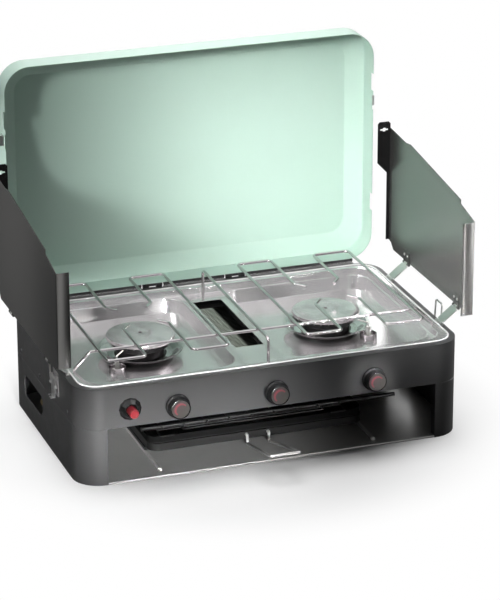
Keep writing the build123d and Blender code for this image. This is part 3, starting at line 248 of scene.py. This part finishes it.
# Painted shadow over the right-hand part of the grill mesh
painted_shadow_side = mesh_metal.axis("X").between(*SHADOW_SIDE_X)
# Near black on the right-hand part of the mesh: a painted shadow
mesh_metal.set("Base Color", mesh_metal.mix(painted_shadow_side, mesh_metal.color, (0.004, 0.004, 0.004)))

# Painted highlight along the drip tray's rolled bead: near white and less metallic
rim_painted_highlight = tray_steel.axis("Z").between(*RIM_HIGHLIGHT_Z)
tray_steel.set("Metallic", 0.76 - rim_painted_highlight * 0.46)
# Near-white band on the bead is a painted highlight
tray_steel.overlay(rim_painted_highlight, (0.95, 0.94, 0.945))

# Black paint on the wings' rear hooks
hooks = wing_steel.axis("Y").between(*HOOK_Y)
wing_steel.set("Metallic", (1 - hooks) * 0.8)
wing_steel.overlay(hooks, (0.008, 0.008, 0.008))

finish_of_slot = {
    "casing": casing,
    "base_steel": base_steel,
    "rubber": rubber,
    "wire": rack_chrome,
    "tray_steel": tray_steel,
    "lid_paint": mint,
    "wing_paint": wing_steel,
    "bright_steel": bright_steel,
    "hinge_dark": hinge_black,
    "burner_cap": cap_metal,
    "burner_body": burner_shade_and_rack_black,
    "burner_ring": ring_metal,
    "ceramic": ceramic,
    "grill_body": grill_metal,
    "brass": brass,
    "knob": knob_black,
    "spindle": bright_steel,
    "black_plastic": black_plastic,
    "button": button_red,
    "enamel": enamel,
}


def wear(piece, finish):
    piece.data.materials.clear()
    piece.data.materials.append(finish.material)


for name, piece in nodes.items():
    wear(piece, finish_of_slot[slot_of_node[name]])
wear(nodes["case_screws"], hinge_black)
wear(nodes["pan_handle"], rail_wire)
wear(nodes["pan_rails"], rail_wire)
# The grill rack takes the near-black burner finish as its own black
wear(nodes["grill_rack"], burner_shade_and_rack_black)


# Modelling helpers
def lone(piece):
    bpy.ops.object.select_all(action="DESELECT")
    piece.select_set(True)
    bpy.context.view_layer.objects.active = piece


@contextmanager
def editing(piece):
    lone(piece)
    bpy.ops.object.mode_set(mode="EDIT")
    yield
    bpy.ops.object.mode_set(mode="OBJECT")


def added(name, primitive, **settings):
    bpy.ops.object.select_all(action="DESELECT")
    primitive(**settings)
    piece = bpy.context.object
    piece.name = name
    return piece


def applied(piece, kind, **settings):
    lone(piece)
    modifier = piece.modifiers.new(kind.lower(), kind)
    for name, value in settings.items():
        setattr(modifier, name, value)
    bpy.ops.object.modifier_apply(modifier=modifier.name)


def settled(piece, place, turn=(0, 0, 0)):
    lone(piece)
    piece.location = place
    piece.rotation_euler = turn
    bpy.ops.object.transform_apply(location=True, rotation=True, scale=True)
    return piece


def copied(piece, name):
    twin = bpy.data.objects.new(name, piece.data.copy())
    scene.collection.objects.link(twin)
    return twin


def joined(pieces, name):
    lone(pieces[0])
    for piece in pieces:
        piece.select_set(True)
    bpy.ops.object.join()
    pieces[0].name = name
    return pieces[0]


def marked(piece, kind, test):
    bpy.ops.mesh.select_all(action="DESELECT")
    shape = bmesh.from_edit_mesh(piece.data)
    bpy.ops.mesh.select_mode(type={"faces": "FACE", "edges": "EDGE"}[kind])
    for part in getattr(shape, kind):
        part.select_set(bool(test(part)))
    bmesh.update_edit_mesh(piece.data)


def turned_outwards():
    bpy.ops.mesh.select_all(action="SELECT")
    bpy.ops.mesh.normals_make_consistent(inside=False)


def dress(piece, finish, body, slot, *stands_for, smooth=35):
    wear(piece, finish)
    lone(piece)
    bpy.ops.object.shade_smooth_by_angle(angle=radians(smooth))
    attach(piece, body)
    if stands_for:
        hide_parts(*stands_for)


# A CAD node's mesh with its doubles merged, and its flat faces too where they are to be flattened
def merged_copy(node, flatten=True):
    piece = copied(nodes[node], node + "_formed")
    with editing(piece):
        bpy.ops.mesh.select_all(action="SELECT")
        bpy.ops.mesh.remove_doubles(threshold=1e-5)
        if flatten:
            bpy.ops.mesh.dissolve_limited(angle_limit=radians(1.0))
    return piece


def rounded(piece, node, width, angle=30, smooth=40):
    applied(piece, "BEVEL", width=width, segments=3, limit_method="ANGLE", angle_limit=radians(angle),
            use_clamp_overlap=True, miter_outer="MITER_ARC")
    slot = slot_of_node[node]
    dress(piece, finish_of_slot[slot], body_of_node[node], slot, node, smooth=smooth)
    applied(piece, "WEIGHTED_NORMAL", keep_sharp=True, weight=100)


# A turned shape: a disc drawn up ring by ring, radius and height in millimetres
def turned(name, rings, sides=48, hollow=False):
    rings = [(radius / 1000, height / 1000) for radius, height in rings]
    radius, height = rings[0]
    piece = added(name, bpy.ops.mesh.primitive_circle_add, vertices=sides, radius=radius, fill_type="NGON")
    settled(piece, (0, 0, height))
    with editing(piece):
        bpy.ops.mesh.select_all(action="SELECT")
        for wide, high in rings[1:]:
            bpy.ops.mesh.extrude_region_move(TRANSFORM_OT_translate={"value": (0, 0, high - height)})
            bpy.ops.transform.resize(value=(wide / radius, wide / radius, 1), center_override=(0, 0, high))
            radius, height = wide, high
        if hollow:
            marked(piece, "faces", lambda face: len(face.verts) > 4)
            bpy.ops.mesh.delete(type="FACE")
            marked(piece, "edges", lambda edge: edge.is_boundary)
            bpy.ops.mesh.bridge_edge_loops()
        turned_outwards()
    return piece


# Camera at the photograph's angle
CAMERA_PLACE = (-1.2902, -3.7333, 1.7028)
azimuth, elevation, roll = radians(-18.828), radians(20.481), radians(-0.313)
back = Vector((sin(azimuth) * cos(elevation), -cos(azimuth) * cos(elevation), sin(elevation)))
right = Vector((cos(azimuth), sin(azimuth), 0))
up = back.cross(right)
level = cos(roll) * right + sin(roll) * up
upright = cos(roll) * up - sin(roll) * right
camera = bpy.data.objects.new("camera", bpy.data.cameras.new("camera"))
scene.collection.objects.link(camera)
facing = Matrix((level, upright, back)).transposed().to_4x4()
camera.matrix_world = Matrix.Translation(CAMERA_PLACE) @ facing
camera.data.lens = 179.85
camera.data.sensor_width = 36.0
camera.data.shift_x = 0.04747
camera.data.shift_y = -0.05055
camera.data.clip_end = 50.0
scene.camera = camera

# White backdrop for the camera, a dim room with a pale ceiling for everything else
BACKDROP, CEILING, HORIZON, DIM = 1.0, 0.95, 0.16, 0.07
scene.world = bpy.data.worlds.new("studio")
scene.world.use_nodes = True
scene.world.node_tree.nodes.clear()
room = Graph(scene.world.node_tree)


def light_room(strength):
    return room.node("Background", None, {"Color": (1, 1, 1, 1), "Strength": strength})


def either(graph, share, first, second):
    return graph.node("MixShader", None, {0: share, 1: first, 2: second})


height = room.node("SeparateXYZ", None, {0: room.node("TexCoord", out="Generated")}, out="Z")
shine = either(room, height.between(0.05, 0.95), light_room(HORIZON), light_room(CEILING))
around = either(room, room.node("LightPath", out="Is Glossy Ray"), light_room(DIM), shine)
backdrop = either(room, room.node("LightPath", out="Is Camera Ray"), around, light_room(BACKDROP))
room.node("OutputWorld", None, {"Surface": backdrop}, out=None)


# A lamp box: size in metres, power in watts, spread in degrees
def softbox(name, place, target, size, power, spread=180, mirrored=True, lighting=True):
    lamp = bpy.data.objects.new(name, bpy.data.lights.new(name, "AREA"))
    scene.collection.objects.link(lamp)
    lamp.data.shape = "RECTANGLE"
    lamp.data.size, lamp.data.size_y = size
    lamp.data.energy = power
    lamp.data.spread = radians(spread)
    lamp.location = place
    lamp.visible_camera = False
    lamp.visible_glossy = mirrored
    lamp.visible_diffuse = lighting
    lamp.rotation_euler = (Vector(target) - Vector(place)).to_track_quat("-Z", "Y").to_euler()


# Lamps that light the paint
softbox("lid_beam", (-0.97, -0.57, 0.84), (0.18, 0.20, 0.33), (0.45, 0.45), 0.52, 14)
softbox("lid_fill", (-0.9, -2.2, 1.5), (0.125, 0.20, 0.295), (0.3, 0.3), 0.44, 10.5, mirrored=False)
softbox("panel_beam", (-0.35, -1.6, 0.32), (-0.18, -0.17, 0.075), (0.40, 0.06), 0.75, 10)
softbox("knob_beam", (0.40, -1.5, 0.35), (0.145, -0.19, 0.111), (0.05, 0.05), 0.018, 2.6)
softbox("wing_beam", (-0.9, -1.9, 0.75), (0.31, -0.16, 0.24), (0.2, 0.2), 0.45, 5)
softbox("side_beam", (-1.8, 0.55, 0.60), (-0.30, 0.10, 0.28), (0.3, 0.3), 0.30, 9)
softbox("back", (0.5, 2.3, 0.7), (0, 0.2, 0.15), (1.4, 0.6), 11)
softbox("right", (2.3, 0.35, 0.30), (0.28, 0.02, 0.12), (0.8, 0.4), 3, 60)
softbox("top", (0.05, 0.25, 2.4), (0, 0.1, 0.1), (1.3, 1.1), 36, mirrored=False)

# Lamps that only show as highlights in the metal
softbox("flange_beam", (1.0, -2.2, 0.22), (0.31, -0.165, 0.225), (0.4, 0.4), 0.09, 2.4, lighting=False)
softbox("left_sparkle", (-1.4, -0.3, 1.7), (0, 0, 0.15), (1.0, 0.7), 9, lighting=False)
softbox("right_sparkle", (1.4, -0.3, 1.7), (0, 0, 0.15), (1.0, 0.7), 9, lighting=False)

# Pale floor that fades into the white room, dark where the stove's metal mirrors it
FADE_FROM, FADE_TO = 0.19, 0.42
floor = added("floor", bpy.ops.mesh.primitive_plane_add, size=8.0)
paper = Finish("paper", (0.88, 0.88, 0.88), 0.9)
watched = paper.node("LightPath", out="Is Camera Ray")
paper.set("Base Color", paper.mix(watched, (0.08, 0.08, 0.08), paper.color))
across, along = paper.axis("X"), paper.axis("Y")
away = (across * across + along * along).sqrt()
glow = paper.node("Emission", None, {"Color": (1, 1, 1, 1), "Strength": 1.0})
lit = Value(paper, paper.shader.outputs[0])
surface = either(paper, away.between(FADE_FROM, FADE_TO) * watched, lit, glow)
paper.feed(paper.tree.nodes["Material Output"].inputs["Surface"], surface)
wear(floor, paper)

# Bent sheet metal with rolled edges
EDGE_ROUNDS = {
    "upper_casing": 0.0012,
    "lower_casing": 0.0008,
    "drip_tray": 0.0016,
    "base_plate": 0.0003,
    "grill_pan": 0.0014,
    "wing_strap_left": 0.0003,
    "wing_strap_right": 0.0003,
}
# The lower casing keeps its triangles, as its ring-shaped faces would tear in the bevel
for node, width in EDGE_ROUNDS.items():
    rounded(merged_copy(node, flatten=node != "lower_casing"), node, width)
rounded(merged_copy("lid"), "lid", 0.0028, angle=18, smooth=30)

# A wing is folded round its front edge, not creased
FOLD_X, FOLD_Y, FOLD_TALL = 0.2995, -0.150, 0.05


def front_fold(edge):
    low, high = (corner.co for corner in edge.verts)
    outside = min(abs(low.x), abs(high.x)) > FOLD_X
    return outside and max(low.y, high.y) < FOLD_Y and abs(high.z - low.z) > FOLD_TALL


for node in ("wing_left", "wing_right"):
    wing = merged_copy(node)
    with editing(wing):
        marked(wing, "edges", front_fold)
        bpy.ops.mesh.bevel(offset=0.0045, segments=5)
    rounded(wing, node, 0.0003)

# Knob grip, with a third of the facets on its side sunk as flutes
KNOB_SIDES = 72
FLUTE_LOW, FLUTE_HIGH = 0.0075, 0.0125
FLUTE_MARGIN, FLUTE_DEPTH = 0.00022, 0.0006
GRIP_RINGS = [
    (15.2, 0), (16.9, 0.5), (17.0, 0.9), (16.9, 4.3), (16.3, 5.0), (15.1, 5.2), (14.7, 5.9),
    (14.5, 14.5), (14.2, 15.4), (13.6, 15.9), (12.8, 16.0), (12.7, 15.2),
]
FACE_RINGS = [(12.5, 15.1), (12.5, 15.5), (12.2, 15.75), (11.2, 15.8)]
grip = turned("knob_grip", GRIP_RINGS, KNOB_SIDES)


def on_side(face):
    return FLUTE_LOW < face.calc_center_median().z < FLUTE_HIGH and len(face.verts) == 4


with editing(grip):
    marked(grip, "faces", on_side)
    shape = bmesh.from_edit_mesh(grip.data)
    # The mesh's own face order picks the facets, and it can change from run to run
    for index, facet in enumerate([face for face in shape.faces if face.select]):
        facet.select_set(index % 3 == 0)
    bmesh.update_edit_mesh(grip.data)
    bpy.ops.mesh.inset(thickness=FLUTE_MARGIN, depth=-FLUTE_DEPTH, use_individual=True)
face_plate = turned("knob_face", FACE_RINGS, KNOB_SIDES)

# Flame mark: a ring drawn to one side, cut to a crescent and raised
MARK_R, MARK_Z, MARK_THICK = 0.0092, 0.01582, 0.00012
MARK_HOLE, HOLE_AT, CUT_AT = 0.80, 0.0046, 0.0012
flame = added("flame_mark", bpy.ops.mesh.primitive_circle_add, vertices=64, radius=MARK_R, fill_type="NOTHING")
settled(flame, (0, 0, MARK_Z))
with editing(flame):
    bpy.ops.mesh.select_mode(type="VERT")
    bpy.ops.mesh.select_all(action="SELECT")
    bpy.ops.mesh.extrude_region_move(TRANSFORM_OT_translate={"value": (0, 0, 0)})
    bpy.ops.transform.resize(value=(MARK_HOLE, MARK_HOLE, 1), center_override=(HOLE_AT, -HOLE_AT, MARK_Z))
    bpy.ops.mesh.select_all(action="SELECT")
    bpy.ops.mesh.bisect(plane_co=(CUT_AT, -CUT_AT, MARK_Z), plane_no=(1, -1, 0), clear_outer=True)
    bpy.ops.mesh.select_all(action="SELECT")
    bpy.ops.mesh.extrude_region_move(TRANSFORM_OT_translate={"value": (0, 0, MARK_THICK)})
    turned_outwards()

for use, x in KNOB_X.items():
    place = (x, KNOB_Y, KNOB_Z)
    knob = "knob_" + use
    dress(settled(copied(grip, knob + "_grip"), place, FORWARD), knob_black, knob, "knob", knob)
    dress(settled(copied(face_plate, knob + "_face"), place, FORWARD), knob_grey, knob, "knob")
    dress(settled(copied(flame, knob + "_mark"), place, FORWARD), knob_red, knob, "knob")
for pattern in (grip, face_plate, flame):
    bpy.data.objects.remove(pattern)

# Push igniter in its stepped cup
BEZEL_RINGS = [
    (7.4, 1.0), (7.6, 0), (16.0, 0), (16.0, 1.4), (15.3, 2.0),
    (14.4, 2.0), (10.8, 7.3), (10.2, 8.0), (8.3, 8.0), (7.5, 7.2),
]
TIP_RINGS = [
    (6.3, -6.0), (6.5, -5.5), (6.5, 20.0), (6.25, 21.1),
    (5.6, 21.8), (4.6, 22.0), (3.8, 21.7), (2.0, 21.4),
]
bezel = settled(turned("igniter_cup", BEZEL_RINGS, 12, hollow=True), IGNITER, FORWARD)
dress(bezel, black_plastic, "stove", "black_plastic", "igniter_bezel", smooth=15)
tip = settled(turned("igniter_tip", TIP_RINGS), IGNITER, FORWARD)
dress(tip, button_red, "button", "button", "igniter_button")

# Burner caps, a black plug in each cap's centre hole as painted shade for its depth, and their dished rings
CAP_RINGS = [
    (40.0, 0.6), (46.6, 0), (47.9, 0.8), (48.5, 2.2), (48.5, 4.2), (47.9, 5.6), (46.4, 6.5),
    (43.0, 7.0), (34.0, 7.7), (17.0, 8.4), (3.2, 8.5), (2.7, 8.3), (2.6, 5.5),
]
HOLE_SHADE_RINGS = [(2.4, 5.4), (2.4, 6.2), (1.8, 6.4)]
DISH_RINGS = [
    (37.0, 3.0), (46.0, 3.0), (52.5, 8.2), (56.8, 12.3), (58.6, 12.5), (60.0, 13.1),
    (59.8, 13.9), (58.4, 14.0), (56.6, 13.8), (51.5, 9.6), (45.4, 4.6), (37.0, 4.5),
]
for hand, x in BURNER_X.items():
    cap = settled(turned("burner_lid_" + hand, CAP_RINGS, 96), (x, BURNER_Y, CAP_Z))
    dress(cap, cap_metal, "cap_" + hand, "burner_cap", "burner_cap_" + hand)
    # Black plug in the cap's centre hole: painted shade for the deep hole
    hole_shade_plug = settled(turned("burner_hole_shade_" + hand, HOLE_SHADE_RINGS, 24), (x, BURNER_Y, CAP_Z))
    dress(hole_shade_plug, hinge_black, "cap_" + hand, "burner_cap")
    dish = settled(turned("burner_dish_" + hand, DISH_RINGS, 96, hollow=True), (x, BURNER_Y, WELL_Z))
    dress(dish, ring_metal, "stove", "burner_ring", "burner_ring_" + hand)

# Cups around the spark electrodes
GUARD_RINGS = [
    (10.4, 0), (12.2, 0), (12.2, 6.5), (12.6, 7.2), (12.2, 7.6),
    (11.4, 7.4), (11.0, 6.6), (11.0, 0.8), (10.4, 0.8),
]
cups = [
    settled(turned("electrode_cup", GUARD_RINGS, 40, hollow=True), (x, ELECTRODE_Y, WELL_Z))
    for x in ELECTRODE_X
]
dress(joined(cups, "electrode_cups"), ring_metal, "stove", "burner_ring")

# Hinge rods that close the gap under the open lid
rods = []
for x, half in HINGE_STRETCHES:
    rod_rings = [(2.0, -half), (2.6, 0.6 - half), (2.6, half - 0.6), (2.0, half)]
    rods.append(settled(turned("hinge_rod", rod_rings, 24), (x, HINGE_Y, HINGE_Z), SIDEWAYS))
dress(joined(rods, "lid_hinge_rods"), hinge_black, "lid", "hinge_dark")


# Gutter strips behind the rim, below the hinge rods, with their rear edges rounded
def rear_edge(edge):
    behind = all(corner.co.y > GUTTER_Y for corner in edge.verts)
    return behind and edge.calc_length() > GUTTER_TALL * 2


strips = []
for x, half in HINGE_STRETCHES:
    strip = added("gutter_strip", bpy.ops.mesh.primitive_cube_add, size=1)
    strip.scale = (2 * half / 1000, GUTTER_WIDE, GUTTER_TALL)
    settled(strip, (x, GUTTER_Y, GUTTER_Z))
    with editing(strip):
        marked(strip, "edges", rear_edge)
        bpy.ops.mesh.bevel(offset=0.0025, segments=3)
    strips.append(strip)
dress(joined(strips, "rear_gutter"), tray_steel, "stove", "casing")

# Woven wire over the grill burner
weave = added("grill_weave", bpy.ops.mesh.primitive_grid_add, x_subdivisions=9, y_subdivisions=40, size=1)
weave.scale = MESH_SIZE
settled(weave, MESH_PLACE)
applied(weave, "WIREFRAME", thickness=0.0013, use_even_offset=False, use_boundary=True)
dress(weave, mesh_metal, "stove", "grill_body", "grill_mesh")


# Pieces that repeat: one pattern turned, copied to its spots and joined
def repeated(name, pattern, spots, turn=(0, 0, 0)):
    pieces = [settled(copied(pattern, name), spot, turn) for spot in spots]
    bpy.data.objects.remove(pattern)
    return joined(pieces, name)


# Grooved rubber feet
FOOT_RINGS = [
    (9.2, 0), (10.0, 0.5), (10.3, 2.0), (9.8, 2.5), (10.0, 3.0), (10.7, 3.4),
    (11.0, 4.7), (10.5, 5.1), (10.8, 5.5), (11.7, 5.9), (12.0, 7.0),
]
feet = repeated("rubber_feet", turned("foot", FOOT_RINGS, 32), [(x, y, 0) for x, y in FOOT_SPOTS])
dress(feet, rubber, "stove", "rubber", "feet")

# Stops on the ends of the pan rails, low enough for the pan's runners to pass, off-white as a painted
# highlight on the wire ends
STOP_RINGS = [(1.2, -3.4), (2.7, -2.8), (3.3, -1.2), (3.3, 0.8), (2.6, 2.4), (1.4, 3.2)]
stop_spots = [(x, RAIL_END_Y, RAIL_END_Z) for x in RAIL_X]
painted_highlight_stops = repeated("rail_stops_painted_highlight", turned("rail_stop", STOP_RINGS, 24), stop_spots, FORWARD)
# Off-white ceramic on the rail ends is a painted highlight
dress(painted_highlight_stops, ceramic, "stove", "wire")
